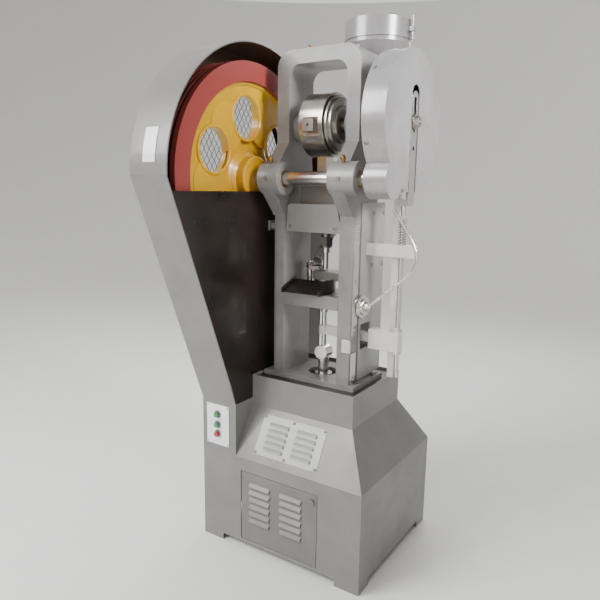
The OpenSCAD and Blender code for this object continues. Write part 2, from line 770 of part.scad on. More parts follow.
module lift_bar() {
    color(steel) difference() {
        union() {
            slab(bar_x0, bar_x1, main_y - 25, main_y + 25, 1410, main_z + 80);
            xcyl(25, bar_x0, bar_x1, main_y, main_z + 80);
            slab(lift_x - 16, bar_x1, main_y - 22, main_y + 22, 1392, 1416);
        }
        slab(bar_x0 - 1, bar_x1 + 1, main_y - 11, main_y + 11, main_z - 26, main_z + 74);
        xcyl(11, bar_x0 - 1, bar_x1 + 1, main_y, main_z + 74);
        xcyl(11, bar_x0 - 1, bar_x1 + 1, main_y, main_z - 26);
        xcyl(8, bar_x0 - 1, bar_x1 + 1, main_y, main_z - 90);
        zcyl(lift_r, 1380, 1410, lift_x, main_y);
    }
}

module lift_spring() {
    color("#8c8884") difference() {
        zcyl(16, 1250, 1340, lift_x, main_y);
        zcyl(12, 1249, 1341, lift_x, main_y);
    }
}

module side_plate() {
    color("#a9a7a8") difference() {
        slab(leg_out_r, plate_x1, leg_front + 60, frame_back + 60, foot_top + bolt_head_h + pass_gap, 1400);
        slab(leg_out_r - 1, plate_x1 + 1, -50, 30, lift_z - 48, lift_z + 52);
        xcyl(8 + run_gap, leg_out_r - 1, plate_x1 + 1, lever_y, lever_z);
    }
}

module column_strips() {
    color("#dedcda") {
        slab(leg_out_r, plate_x1, leg_front + 8, leg_front + 44, lift_z + 18, 1318);
        slab(leg_out_r, plate_x1, leg_front + 8, leg_front + 44, foot_top, lift_z - 50);
        slab(leg_out_r - 30, plate_x1, leg_front - 6, leg_front, lift_z - 46, lift_z + 4);
    }
    color("#8a8681") for (z = [lift_z + 40, 1110, 1295, foot_top + 20])
        xcyl(6, plate_x1, plate_x1 + 3, leg_front + 26, z);
}

module guide_bracket() {
    color("#e6e4e2") difference() {
        union() {
            slab(plate_x1, gg_x1 + 28, main_y - 14, main_y + 14, 1205, 1250);
            slab(lift_x - 44, lift_x - 20, main_y + 14, main_y + 24, 735, main_z - 250);
        }
        zcyl(lift_r + run_gap, 1204, 1251, lift_x, main_y);
    }
    color(dark) ycyl(8, main_y - 18, main_y - 14, plate_x1 + 45, 1228);
}

// A rocker on a short shaft, with a bent bar that bows out past the lift rod
module feed_lever() {
    color("#d6d3d0") {
        xcyl(44, plate_x1 + 1, plate_x1 + 12, lever_y, lever_z);
        xcyl(34, plate_x1 + 12, plate_x1 + 24, lever_y, lever_z);
        xcyl(20, plate_x1 + 24, plate_x1 + 34, lever_y, lever_z);
        xcyl(8, leg_out_r - 28, plate_x1 + 2, lever_y, lever_z);
        bent_bar([[plate_x1 + 28, lever_y - 14, lever_z], [plate_x1 + 40, lever_y - 14, lever_z + 6],
            [plate_x1 + 192, lever_y - 14, lever_z + 134], [plate_x1 + 219, lever_y - 14, lever_z + 172],
            [plate_x1 + 222, lever_y - 14, lever_z + 208], [plate_x1 + 200, lever_y - 14, lever_z + 262],
            [plate_x1 + 128, lever_y - 14, lever_z + 366]], 5.5);
    }
}

module gear_guard_body(x0, x1, t) {
    xcyl(gg_r - t, x0, x1, main_y, main_z);
    xcyl(gg_small_r - t, x0, x1, drive_y, drive_z);
}

module gear_guard() {
    color("#b3b1b0") difference() {
        gear_guard_body(gg_x0, gg_x1, 0);
        gear_guard_body(gg_x0 - 1, gg_x1 - 3, 3);
        slab(gg_x1 - 4, gg_x1 + 1, main_y - slot_w / 2, main_y + slot_w / 2, 1300, slot_top - slot_w / 2);
        xcyl(slot_w / 2, gg_x1 - 4, gg_x1 + 1, main_y, slot_top - slot_w / 2);
        slab(gg_x0 + 40, gg_x1 + 1, main_y - slot_w / 2, main_y + slot_w / 2, 1300, main_z - 200);
    }
}

module gear_guard_back() {
    color("#8d8b8a") {
        difference() {
            gear_guard_body(gg_x0 - 3, gg_x0, 0);
            xcyl(main_r + 6, gg_x0 - 4, gg_x0 + 1, main_y, main_z);
            xcyl(drive_r + 6, gg_x0 - 4, gg_x0 + 1, drive_y, drive_z);
        }
        for (p = [[40, arch_top - 85], [40, main_z - 124], [-70, main_z + 96]]) xcyl(14, leg_out_r, gg_x0 - 3, p[0], p[1]);
    }
}

module hopper() {
    color("#c2c0c0") translate([hop_x, hop_y, 0]) difference() {
        rotate_extrude() polygon([[0, hop_z0], [spout_r, hop_z0], [hop_r, hop_z1], [hop_r, hop_z1 + 60], [0, hop_z1 + 60]]);
        rotate_extrude() polygon([[0, hop_z0 - 1], [spout_r - spout_wall, hop_z0 - 1], [spout_r - spout_wall, hop_z0 + 1],
            [hop_r - hop_wall, hop_z1 + 2], [hop_r - hop_wall, hop_z1 + 61], [0, hop_z1 + 61]]);
    }
    color("#b5b3b5") translate([hop_x, hop_y, 0]) difference() {
        zcyl(hop_r + 4, hop_z1 + 15, hop_z1 + 86, 0, 0);
        zcyl(hop_r, hop_z1 + 14, hop_z1 + 87, 0, 0);
    }
    color(steel) {
        slab(hop_x + hop_r, hop_x + hop_r + 26, hop_y - 12, hop_y + 12, hop_z1 + 40, hop_z1 + 56);
        zcyl(7, hop_z1 + 10, hop_z1 + 96, hop_x + hop_r + 16, hop_y);
    }
    color("#bebcbc") difference() {
        union() {
            zcyl(spout_r + 4, hop_z0 - collar_drop, hop_z0 + 2, hop_x, hop_y);
            bent_bar([pipe_top, pipe_bend, pipe_end], pipe_r);
        }
        zcyl(pipe_bore, pipe_top[2], hop_z0 + 3, hop_x, hop_y);
        translate(pipe_top) sphere(r = pipe_bore * 1.06);
        bent_bar([pipe_top, pipe_bend, pipe_out], pipe_bore);
    }
}

module hopper_bracket() {
    color(cast_grey) difference() {
        union() {
            slab(hop_x - 50, hop_x + 50, frame_back, hop_y, hop_z0 + 96, hop_z0 + 108);
            zcyl(96, hop_z0 + 96, hop_z0 + 108, hop_x, hop_y);
            slab(hop_x - 50, hop_x + 50, frame_back, frame_back + 10, hop_z0 + 62, hop_z0 + 96);
        }
        zcyl(80, hop_z0 + 95, hop_z0 + 109, hop_x, hop_y);
    }
}

module motor() {
    color("#5d6f7c") difference() {
        union() {
            xcyl(95, guard_x1 + 14, guard_x1 + 230, 0, motor_z);
            slab(guard_x1 + 100, guard_x1 + 200, -80, 80, 95, motor_z - 70);
            for (i = [0 : 11]) if (i != 8 && i != 9 && i != 10) translate([0, 0, motor_z]) rotate([i * 30, 0, 0])
                slab(guard_x1 + 30, guard_x1 + 214, -2, 2, 90, 102);
        }
        xcyl(14 + run_gap, guard_x1 + 13, guard_x1 + 60, 0, motor_z);
    }
}

module motor_pulley() {
    color("#7d7a76") difference() {
        union() {
            xcyl(14, fly_x0 + 4, guard_x1 + 58, 0, motor_z);
            xcyl(pulley_r, fly_x0 + 10, fly_x0 + 90, 0, motor_z);
        }
        for (x = belt_x) difference() {
            xcyl(pulley_r + 1, x, x + 14, 0, motor_z);
            xcyl(pulley_r - groove_d, x - 1, x + 15, 0, motor_z);
        }
    }
}

base_cabinet();
inner_stand();
louvre_panel();
cabinet_door();
door_pivots();
door_latch();
control_plate();
button_bezels();
start_button();
jog_button();
stop_button();
switch_blocks();
flywheel_guard();
guard_mesh();
guard_inner_panel();
guard_stay();
guard_nameplate();
frame_casting();
bed_plate();
frame_bolts();
drive_bushes();
main_bushes();
boss_screws();
flywheel();
drive_shaft();
drive_pinion();
drive_belts();
main_shaft();
main_gear();
lift_cam();
main_shaft_nut();
eccentric_strap();
strap_lock_block();
slide_block();
slide_guides();
slide_cover();
punch_holder();
upper_punch();
die_table();
die_holder();
die();
tablet_chute();
feed_shoe();
shoe_pivot();
lower_guide();
lower_punch();
lift_arm();
lift_rod();
lift_bar();
lift_spring();
side_plate();
column_strips();
guide_bracket();
feed_lever();
gear_guard();
gear_guard_back();
hopper();
hopper_bracket();
motor();
motor_pulley();
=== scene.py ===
"""Looks for an eccentric tablet press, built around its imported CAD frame.

Each class is one sub-assembly. It holds its own sizes, in metres, builds its meshes with numpy
grids, and dresses them with a named finish. Every pattern's scale is in millimetres.
"""

import logging
import math
from dataclasses import dataclass
from enum import Enum

import bmesh
import bpy
import numpy as np
from mathutils import Matrix, Vector


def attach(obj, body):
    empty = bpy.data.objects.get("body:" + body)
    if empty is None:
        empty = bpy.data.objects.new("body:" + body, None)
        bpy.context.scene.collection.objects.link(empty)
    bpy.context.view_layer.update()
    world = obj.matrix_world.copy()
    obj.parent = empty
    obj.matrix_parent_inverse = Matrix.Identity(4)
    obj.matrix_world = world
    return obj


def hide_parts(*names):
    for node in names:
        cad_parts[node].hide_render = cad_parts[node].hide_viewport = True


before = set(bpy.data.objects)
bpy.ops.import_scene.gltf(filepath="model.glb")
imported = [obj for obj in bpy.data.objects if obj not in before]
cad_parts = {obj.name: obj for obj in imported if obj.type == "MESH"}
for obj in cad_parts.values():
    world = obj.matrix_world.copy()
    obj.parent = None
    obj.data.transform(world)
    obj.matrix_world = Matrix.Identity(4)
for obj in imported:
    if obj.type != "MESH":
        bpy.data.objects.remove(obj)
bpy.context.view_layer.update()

log = logging.getLogger("tablet_press")
MM = 0.001
MERGE = 1e-6  # points nearer to each other than this, in metres, become one
SHARP = math.radians(35)  # edges that turn by more than this stay crisp
PATCHES_PER_M = 7.0  # patches of uneven paint or oil, about 140 mm each
EDGE_MM = 1.6  # the width over which an edge counts as worn
WHEEL_Y = -0.161  # the flywheel's axis, which the guard and its window share
WHEEL_Z = 1.484


# ---------------------------------------------------------------- colour and nodes


def linear(hex_colour: str) -> tuple[float, float, float, float]:
    """Turns an sRGB hex colour into linear RGBA.

    Args:
        hex_colour: Six hex digits with a leading hash.

    Returns:
        The linear red, green, blue and an alpha of 1.
    """
    parts = [int(hex_colour[i : i + 2], 16) / 255 for i in (1, 3, 5)]
    lin = [c / 12.92 if c <= 0.04045 else ((c + 0.055) / 1.055) ** 2.4 for c in parts]
    return (lin[0], lin[1], lin[2], 1.0)


def add_node(tree: bpy.types.NodeTree, kind: str, settings: dict | None = None,
             links: dict | None = None) -> bpy.types.Node:
    """Adds one shader node with its settings and its incoming links.

    Args:
        tree: The node tree that gets the node.
        kind: The node's type name.
        settings: Attribute names or input names, and their values.
        links: Input names or numbers, and the output sockets that feed them.

    Returns:
        The new node.
    """
    node = tree.nodes.new(kind)
    for name, value in (settings or {}).items():
        if isinstance(name, str) and hasattr(node, name):
            setattr(node, name, value)
        else:
            node.inputs[name].default_value = value
    for name, socket in (links or {}).items():
        tree.links.new(socket, node.inputs[name])
    return node


class Surface(Enum):
    """How a finish was made, which decides its node pattern."""

    SPRAYED = "sprayed paint"
    CAST = "painted casting"
    GROUND = "ground steel"
    TURNED = "turned steel"
    ENAMEL = "gloss enamel"
    MOULDED = "moulded plastic"
    RUBBER = "fabric-faced rubber"


@dataclass(frozen=True)
class Finish:
    """One finish: its colours, its gloss, and the real size of its pattern."""

    name: str
    surface: Surface
    base: str
    shade: str
    wear: str
    roughness: float = 0.4
    metallic: float = 0.0
    grain_mm: float = 2.0
    bump_mm: float = 0.05
    wear_amount: float = 0.35
    coat: float = 0.0
    axis: int = 0

    def colour_nodes(self, tree: bpy.types.NodeTree, place: bpy.types.NodeSocket) -> tuple:
        """Builds the colour and height patterns.

        A broad noise mixes base and shade, as uneven paint or oil does. A fine pattern gives the
        height: isotropic orange peel or sand-cast grain, or lines drawn out along one axis for
        ground and turned steel.

        Args:
            tree: The material's node tree.
            place: The coordinates that the patterns read.

        Returns:
            The colour socket, the fine pattern's socket and the broad pattern's socket.
        """
        broad = add_node(tree, "ShaderNodeTexNoise", {"Scale": PATCHES_PER_M, "Detail": 5.0, "Roughness": 0.62},
                         {"Vector": place})
        stretch = [1.0, 1.0, 1.0]
        if self.surface is Surface.GROUND:
            stretch[self.axis] = 0.04
        elif self.surface is Surface.TURNED:
            stretch = [0.08 if i != self.axis else 1.0 for i in range(3)]
        mapped = add_node(tree, "ShaderNodeMapping", {"Scale": Vector(stretch)}, {"Vector": place})
        fine = add_node(tree, "ShaderNodeTexNoise", {"Scale": 1.0 / (self.grain_mm * MM), "Detail": 3.0},
                        {"Vector": mapped.outputs["Vector"]})
        ramp = add_node(tree, "ShaderNodeMapRange", {"From Min": 0.35, "From Max": 0.68},
                        {"Value": broad.outputs["Fac"]})
        mix = add_node(tree, "ShaderNodeMix", {"data_type": "RGBA", 6: linear(self.base), 7: linear(self.shade)},
                       {0: ramp.outputs["Result"]})
        return mix.outputs[2], fine.outputs["Fac"], broad.outputs["Fac"]

    def material(self) -> bpy.types.Material:
        """Builds the finish's node material, with worn edges from rounded normals.

        Returns:
            The finished material.
        """
        mat = bpy.data.materials.new(self.name)
        mat.use_nodes = True
        tree = mat.node_tree
        tree.nodes.clear()
        coord = add_node(tree, "ShaderNodeTexCoord")
        place = coord.outputs["Object"]
        colour, fine, broad = self.colour_nodes(tree, place)
        soft = add_node(tree, "ShaderNodeBevel", {"samples": 4, "Radius": EDGE_MM * MM})
        flat = add_node(tree, "ShaderNodeNewGeometry")
        same = add_node(tree, "ShaderNodeVectorMath", {"operation": "DOT_PRODUCT"},
                        {0: soft.outputs["Normal"], 1: flat.outputs["Normal"]})
        edge = add_node(tree, "ShaderNodeMapRange",
                        {"From Min": 0.995, "From Max": 0.86, "To Max": self.wear_amount},
                        {"Value": same.outputs["Value"]})
        patch = add_node(tree, "ShaderNodeMath", {"operation": "MULTIPLY"},
                         {0: edge.outputs["Result"], 1: broad})
        worn = add_node(tree, "ShaderNodeMix", {"data_type": "RGBA", 7: linear(self.wear)},
                        {0: patch.outputs["Value"], 6: colour})
        rough = add_node(tree, "ShaderNodeMapRange",
                         {"From Min": 0.3, "From Max": 0.7,
                          "To Min": self.roughness * 0.85, "To Max": min(self.roughness * 1.2, 1.0)},
                         {"Value": broad})
        bump = add_node(tree, "ShaderNodeBump", {"Strength": 0.35, "Distance": self.bump_mm * MM},
                        {"Height": fine, "Normal": soft.outputs["Normal"]})
        shader = add_node(tree, "ShaderNodeBsdfPrincipled",
                          {"Metallic": self.metallic, "Coat Weight": self.coat, "Coat Roughness": 0.08},
                          {"Base Color": self.paint(tree, place, flat, worn.outputs[2]),
                           "Roughness": rough.outputs["Result"], "Normal": bump.outputs["Normal"]})
        add_node(tree, "ShaderNodeOutputMaterial", {}, {"Surface": shader.outputs["BSDF"]})
        return mat

    def paint(self, tree: bpy.types.NodeTree, place: bpy.types.NodeSocket, flat: bpy.types.Node,
              colour: bpy.types.NodeSocket) -> bpy.types.NodeSocket:
        """Returns the colour as it is. Two-tone finishes override this.

        Args:
            tree: The material's node tree.
            place: The object coordinates.
            flat: The geometry node, whose normal is the face's own.
            colour: The colour so far.

        Returns:
            The colour socket that the shader reads.
        """
        return colour


def radius_from_axis(tree: bpy.types.NodeTree, place: bpy.types.NodeSocket, y: float,
                     z: float) -> bpy.types.Node:
    """Adds nodes that give each point's offset from an axis along X.

    Args:
        tree: The node tree.
        place: The object coordinates.
        y: The axis's place along Y, in metres.
        z: The axis's height, in metres.

    Returns:
        A vector node whose output is the offset in the plane across the axis.
    """
    moved = add_node(tree, "ShaderNodeVectorMath", {"operation": "SUBTRACT", 1: (0.0, y, z)}, {0: place})
    return add_node(tree, "ShaderNodeVectorMath", {"operation": "MULTIPLY", 1: (0.0, 1.0, 1.0)},
                    {0: moved.outputs["Vector"]})


@dataclass(frozen=True)
class TwoToneWheel(Finish):
    """Cast wheel with a red rim round a yellow web, told apart by the distance from the axis."""

    rim: str = "#9c423d"
    rim_radius: float = 0.355
    old_paint: str = "#a87208"
    grime_from: float = 0.16
    grime_to: float = 0.33
    axis_y: float = WHEEL_Y
    axis_z: float = WHEEL_Z

    def paint(self, tree: bpy.types.NodeTree, place: bpy.types.NodeSocket, flat: bpy.types.Node,
              colour: bpy.types.NodeSocket) -> bpy.types.NodeSocket:
        """Returns the web's colour inside the rim's radius and the rim's red outside it.

        The web darkens towards the hub, where oil is thrown.
        """
        offset = radius_from_axis(tree, place, self.axis_y, self.axis_z)
        far = add_node(tree, "ShaderNodeVectorMath", {"operation": "LENGTH"}, {0: offset.outputs["Vector"]})
        outside = add_node(tree, "ShaderNodeMath", {"operation": "GREATER_THAN", 1: self.rim_radius},
                           {0: far.outputs["Value"]})
        grime = add_node(tree, "ShaderNodeMapRange",
                         {"From Min": self.grime_from, "From Max": self.grime_to, "To Min": 0.62, "To Max": 0.0},
                         {"Value": far.outputs["Value"]})
        old = add_node(tree, "ShaderNodeMix", {"data_type": "RGBA", 7: linear(self.old_paint)},
                       {0: grime.outputs["Result"], 6: colour})
        red = add_node(tree, "ShaderNodeMix", {"data_type": "RGBA", 7: linear(self.rim)},
                       {0: outside.outputs["Value"], 6: old.outputs[2]})
        return red.outputs[2]


@dataclass(frozen=True)
class InsideShadedGuard(Finish):
    """Grey sheet guard, with dark brown painted shade on the faces that look at its axis and inside its outer
    wall.
    """

    # Painted shade: the dark brown given to the guard's inside faces.
    inside_shade: str = "#4a3322"
    axis_y: float = WHEEL_Y
    axis_z: float = WHEEL_Z
    wall_x: float = -0.34

    def paint(self, tree: bpy.types.NodeTree, place: bpy.types.NodeSocket, flat: bpy.types.Node,
              colour: bpy.types.NodeSocket) -> bpy.types.NodeSocket:
        """Returns the painted shade's dark brown where a normal points back at the axis, or to the right in the
        wall.
        """
        offset = radius_from_axis(tree, place, self.axis_y, self.axis_z)
        facing = add_node(tree, "ShaderNodeVectorMath", {"operation": "DOT_PRODUCT"},
                          {0: offset.outputs["Vector"], 1: flat.outputs["Normal"]})
        inward = add_node(tree, "ShaderNodeMath", {"operation": "LESS_THAN", 1: -0.03},
                          {0: facing.outputs["Value"]})
        normal = add_node(tree, "ShaderNodeSeparateXYZ", {}, {0: flat.outputs["Normal"]})
        spot = add_node(tree, "ShaderNodeSeparateXYZ", {}, {0: place})
        right = add_node(tree, "ShaderNodeMath", {"operation": "GREATER_THAN", 1: 0.5},
                         {0: normal.outputs["X"]})
        deep = add_node(tree, "ShaderNodeMath", {"operation": "LESS_THAN", 1: self.wall_x},
                        {0: spot.outputs["X"]})
        wall = add_node(tree, "ShaderNodeMath", {"operation": "MULTIPLY"},
                        {0: right.outputs[0], 1: deep.outputs[0]})
        # Painted shade: inward faces and the inside of the outer wall take the dark brown.
        shaded_inside = add_node(tree, "ShaderNodeMath", {"operation": "MAXIMUM"},
                         {0: inward.outputs[0], 1: wall.outputs[0]})
        mix = add_node(tree, "ShaderNodeMix", {"data_type": "RGBA", 7: linear(self.inside_shade)},
                       {0: shaded_inside.outputs[0], 6: colour})
        return mix.outputs[2]


# Satin polyurethane on sheet steel: a flat grey with faint orange peel.
SHEET = Finish("satin_grey_sheet", Surface.SPRAYED, "#7b7976", "#716f6c", "#a9a7a4",
               roughness=0.36, metallic=0, grain_mm=1.6, bump_mm=0.06, wear_amount=0.25, coat=0.15)
# The same paint, a touch paler on the pressed louvre panel as painted light, since the sloping panel faces up
# into the light.
LIT_PANEL = Finish("lit_pressed_panel", Surface.SPRAYED, "#b0afac", "#a5a4a1", "#d0cfcc",
               roughness=0.38, metallic=0, grain_mm=1.6, bump_mm=0.06, wear_amount=0.3, coat=0.15)
# Darker grey on the door, as a second spray job leaves it.
DOOR = Finish("door_grey_sheet", Surface.SPRAYED, "#716f6b", "#676561", "#a5a39f",
              roughness=0.38, metallic=0, grain_mm=1.6, bump_mm=0.06, wear_amount=0.4, coat=0.12)
# Guard: satin grey outside, with dark brown painted shade on its inside faces.
GUARD = InsideShadedGuard("inside_shaded_flywheel_guard", Surface.SPRAYED, "#7b7976", "#716f6c", "#a9a7a4",
                   roughness=0.34, metallic=0, grain_mm=1.6, bump_mm=0.06, wear_amount=0.25, coat=0.2)
# Enamelled grey iron: sand-cast grain still reads through the paint.
CASTING = Finish("painted_grey_casting", Surface.CAST, "#8a8887", "#767472", "#bbb9b7",
                 roughness=0.36, metallic=0, grain_mm=3.2, bump_mm=0.25, wear_amount=0.45, coat=0.2)
# Fettled and polished cover casting, brighter and glossier than the frame.
COVER = Finish("gloss_grey_cover", Surface.SPRAYED, "#9a9898", "#8b8989", "#c8c6c4",
               roughness=0.27, metallic=0.25, grain_mm=2.4, bump_mm=0.08, wear_amount=0.4, coat=0.35)
# Slide cover and side wall: the same grey with machining marks under the paint.
PLATE = Finish("grey_machined_plate", Surface.GROUND, "#979591", "#898783", "#c2c0bc",
               roughness=0.34, metallic=0.2, grain_mm=1.2, bump_mm=0.05, wear_amount=0.4, coat=0.1, axis=2)
# Black stove enamel with oil on it: a dull gloss, with brown patches.
BLACK = Finish("black_stove_enamel", Surface.ENAMEL, "#150f0d", "#251914", "#5a4a40",
               roughness=0.3, metallic=0, grain_mm=9.0, bump_mm=0.12, wear_amount=0.5, coat=0.25)
# Ground and oiled bright steel, with grinding lines along each bar.
BRIGHT_X = Finish("ground_steel_along_x", Surface.GROUND, "#d6d3cf", "#c0bcb6", "#f2efeb",
                  roughness=0.2, metallic=1.0, grain_mm=0.8, bump_mm=0.03, wear_amount=0.3, coat=0, axis=0)
BRIGHT_Z = Finish("ground_steel_along_z", Surface.GROUND, "#dddad6", "#c9c5bf", "#f2efeb",
                  roughness=0.22, metallic=1.0, grain_mm=0.8, bump_mm=0.03, wear_amount=0.3, coat=0, axis=2)
# Turned steel: fine rings round the X axis.
TURNED = Finish("turned_steel", Surface.TURNED, "#c8c4be", "#a9a49c", "#ece8e2",
                roughness=0.24, metallic=1.0, grain_mm=1.0, bump_mm=0.05, wear_amount=0.4, coat=0, axis=0)
# Milled faces with an oil film: darker and softer than the shafts.
MILLED = Finish("oiled_milled_steel", Surface.GROUND, "#8f8b86", "#76716b", "#bdb8b0",
                roughness=0.36, metallic=0.9, grain_mm=1.4, bump_mm=0.06, wear_amount=0.4, coat=0, axis=1)
# Painted steel bracket, almost white.
WHITE_STEEL = Finish("white_painted_steel", Surface.SPRAYED, "#dedbd8", "#d0cdc9", "#f4f2ef",
                     roughness=0.32, metallic=0.1, grain_mm=1.6, bump_mm=0.05, wear_amount=0.3, coat=0.2)
# Turned bronze bushes and oil cups: warm rings beside the grey castings.
BRONZE = Finish("turned_bronze", Surface.TURNED, "#a8834c", "#8d6b3a", "#d4b27a",
                roughness=0.3, metallic=1.0, grain_mm=1.0, bump_mm=0.05, wear_amount=0.4, coat=0, axis=0)
# Flywheel: sand-cast grain under thick gloss paint, a yellow web and a red rim.
WHEEL = TwoToneWheel("two_tone_cast_wheel", Surface.CAST, "#d8ac18", "#c99a10", "#e9c654",
                     roughness=0.33, metallic=0, grain_mm=3.6, bump_mm=0.22, wear_amount=0.3, coat=0.35)
# White enamel plates: nearly smooth, so they catch a clean highlight.
LABEL = Finish("white_enamel_plate", Surface.ENAMEL, "#f0eff0", "#e9e8ea", "#ffffff",
               roughness=0.22, metallic=0, grain_mm=4.0, bump_mm=0.02, wear_amount=0.1, coat=0.3)
# Moulded button caps: even colour with a soft gloss, green here and red below.
GREEN = Finish("green_button_cap", Surface.MOULDED, "#1f8f5a", "#1b8552", "#4cbf88",
               roughness=0.3, metallic=0, grain_mm=1.2, bump_mm=0.03, wear_amount=0.2, coat=0.2)
RED = Finish("red_button_cap", Surface.MOULDED, "#b9222b", "#ad1d26", "#e0606a",
             roughness=0.3, metallic=0, grain_mm=1.2, bump_mm=0.03, wear_amount=0.2, coat=0.2)
# Switch bodies behind the plate: dull black moulding with paler corners.
BAKELITE = Finish("black_switch_body", Surface.MOULDED, "#2b2b2d", "#232325", "#5c5c60",
                  roughness=0.45, metallic=0, grain_mm=1.4, bump_mm=0.05, wear_amount=0.3)
# Belts: dead-matt black, with the cloth facing as fine relief.
BELT = Finish("fabric_faced_belt", Surface.RUBBER, "#1b1a1a", "#262322", "#3d3a38",
              roughness=0.75, metallic=0, grain_mm=1.1, bump_mm=0.2, wear_amount=0.3)
# Motor: coarse shallow dimples in blue-grey, as hammer paint leaves.
MOTOR = Finish("motor_hammer_paint", Surface.CAST, "#4f606c", "#435460", "#8496a2",
               roughness=0.4, metallic=0, grain_mm=4.0, bump_mm=0.3, wear_amount=0.4, coat=0.2)
# Inner stand: dark and nearly matt, so it stays in the background.
STAND = Finish("primed_angle_iron", Surface.CAST, "#3a3836", "#2f2d2b", "#6b6763",
               roughness=0.55, metallic=0, grain_mm=4.0, bump_mm=0.3, wear_amount=0.5)
# Galvanised wire: blue-grey, and lit along its length.
WIRE = Finish("woven_galvanised_wire", Surface.GROUND, "#4f5d68", "#44525c", "#8a98a2",
              roughness=0.35, metallic=0.8, grain_mm=1.0, bump_mm=0.02, wear_amount=0.2)
# The floor: pale and matt, so that it only takes soft shadows.
STAGE = Finish("pale_floor", Surface.SPRAYED, "#f4f3f1", "#f1f0ee", "#ffffff",
               roughness=0.6, metallic=0, grain_mm=6.0, bump_mm=0.02, wear_amount=0.0)

# feed_lever is not here, because bent_lever takes its place.
NODE_FINISHES: dict[Finish, tuple[str, ...]] = {
    SHEET: ("base_cabinet",),
    # Painted light: the louvre panel's paler copy of the sheet grey.
    LIT_PANEL: ("louvre_panel",),
    DOOR: ("cabinet_door",),
    GUARD: ("flywheel_guard",),
    CASTING: ("frame_casting", "die_table", "hopper_bracket", "guard_stay"),
    COVER: ("gear_guard", "gear_guard_back", "hopper"),
    PLATE: ("slide_cover", "side_plate"),
    BLACK: ("guard_inner_panel", "bed_plate", "tablet_chute"),
    BRIGHT_X: ("drive_shaft",),
    BRIGHT_Z: ("upper_punch", "lower_punch", "lift_rod", "lift_bar", "column_strips", "lower_guide",
               "shoe_pivot"),
    TURNED: ("main_shaft", "eccentric_strap", "main_shaft_nut", "lift_cam", "die", "motor_pulley"),
    MILLED: ("slide_block", "slide_guides", "drive_pinion", "main_gear", "door_pivots", "frame_bolts",
             "punch_holder", "strap_lock_block", "boss_screws", "door_latch", "button_bezels", "feed_shoe",
             "die_holder"),
    WHITE_STEEL: ("guide_bracket", "lift_arm"),
    BRONZE: ("drive_bushes", "main_bushes"),
    WHEEL: ("flywheel",),
    LABEL: ("control_plate", "guard_nameplate"),
    GREEN: ("start_button", "jog_button"),
    RED: ("stop_button",),
    BAKELITE: ("switch_blocks",),
    BELT: ("drive_belts",),
    MOTOR: ("motor",),
    STAND: ("inner_stand",),
    WIRE: ("guard_mesh", "lift_spring"),
}
_made: dict[str, bpy.types.Material] = {}


def material_of(finish: Finish) -> bpy.types.Material:
    """Returns a finish's material, building it the first time.

    Args:
        finish: The finish.

    Returns:
        Its one material.
    """
    if finish.name not in _made:
        _made[finish.name] = finish.material()
    return _made[finish.name]


# ---------------------------------------------------------------- meshes


@dataclass
class Shell:
    """Vertices and four-sided faces of one closed surface, ready to be joined to others."""

    points: np.ndarray
    faces: np.ndarray


def grid_shell(points: np.ndarray, closed_u: bool = False, closed_v: bool = False) -> Shell:
    """Turns a grid of points into faces.

    Args:
        points: An array of rows, columns and three coordinates.
        closed_u: Whether the last row joins the first.
        closed_v: Whether the last column joins the first.

    Returns:
        The grid as a shell.
    """
    rows, cols = points.shape[:2]
    index = np.arange(rows * cols).reshape(rows, cols)
    if closed_u:
        index = np.vstack([index, index[:1]])
    if closed_v:
        index = np.hstack([index, index[:, :1]])
    quads = np.stack([index[:-1, :-1], index[:-1, 1:], index[1:, 1:], index[1:, :-1]], axis=-1)
    return Shell(points.reshape(-1, 3), quads.reshape(-1, 4))


def frame_of(direction: tuple[float, float, float]) -> np.ndarray:
    """Finds three unit vectors across and along a direction.

    Args:
        direction: Any vector but zero.

    Returns:
        The two across it and the one along it, as rows.
    """
    along = np.asarray(direction, float)
    along = along / np.linalg.norm(along)
    helper = np.array([0.0, 0.0, 1.0]) if abs(along[2]) < 0.9 else np.array([0.0, 1.0, 0.0])
    side = np.cross(helper, along)
    side /= np.linalg.norm(side)
    return np.stack([side, np.cross(along, side), along])


def lathe(profile: list[tuple[float, float]], centre: tuple[float, float, float],
          direction: tuple[float, float, float], steps: int = 48, sides: int = 0) -> Shell:
    """Turns a profile about a direction.

    Each point is the radius times (cos a, sin a) across, and the height along the direction.
    With sides set, the radius is divided by the distance to a regular polygon's edge, so the
    profile comes out as a hexagon, a square or the like.

    Args:
        profile: Radius and height pairs, in metres, from one pole to the other.
        centre: The point where the height is zero.
        direction: The axis.
        steps: Points round the axis.
        sides: Sides of the polygon, or 0 for a circle.

    Returns:
        The turned shell.
    """
    radii, heights = np.array(profile, float).T
    angle = np.linspace(0, 2 * math.pi, steps, endpoint=False)
    scale = np.ones_like(angle)
    if sides:
        half = math.pi / sides
        scale = math.cos(half) / np.cos(np.mod(angle, 2 * half) - half)
    ring = np.stack([np.cos(angle) * scale, np.sin(angle) * scale], axis=-1)
    along = np.broadcast_to(heights[:, None, None], (len(radii), steps, 1))
    local = np.concatenate([radii[:, None, None] * ring[None], along], axis=-1)
    return grid_shell(np.asarray(centre) + local @ frame_of(direction), closed_v=True)


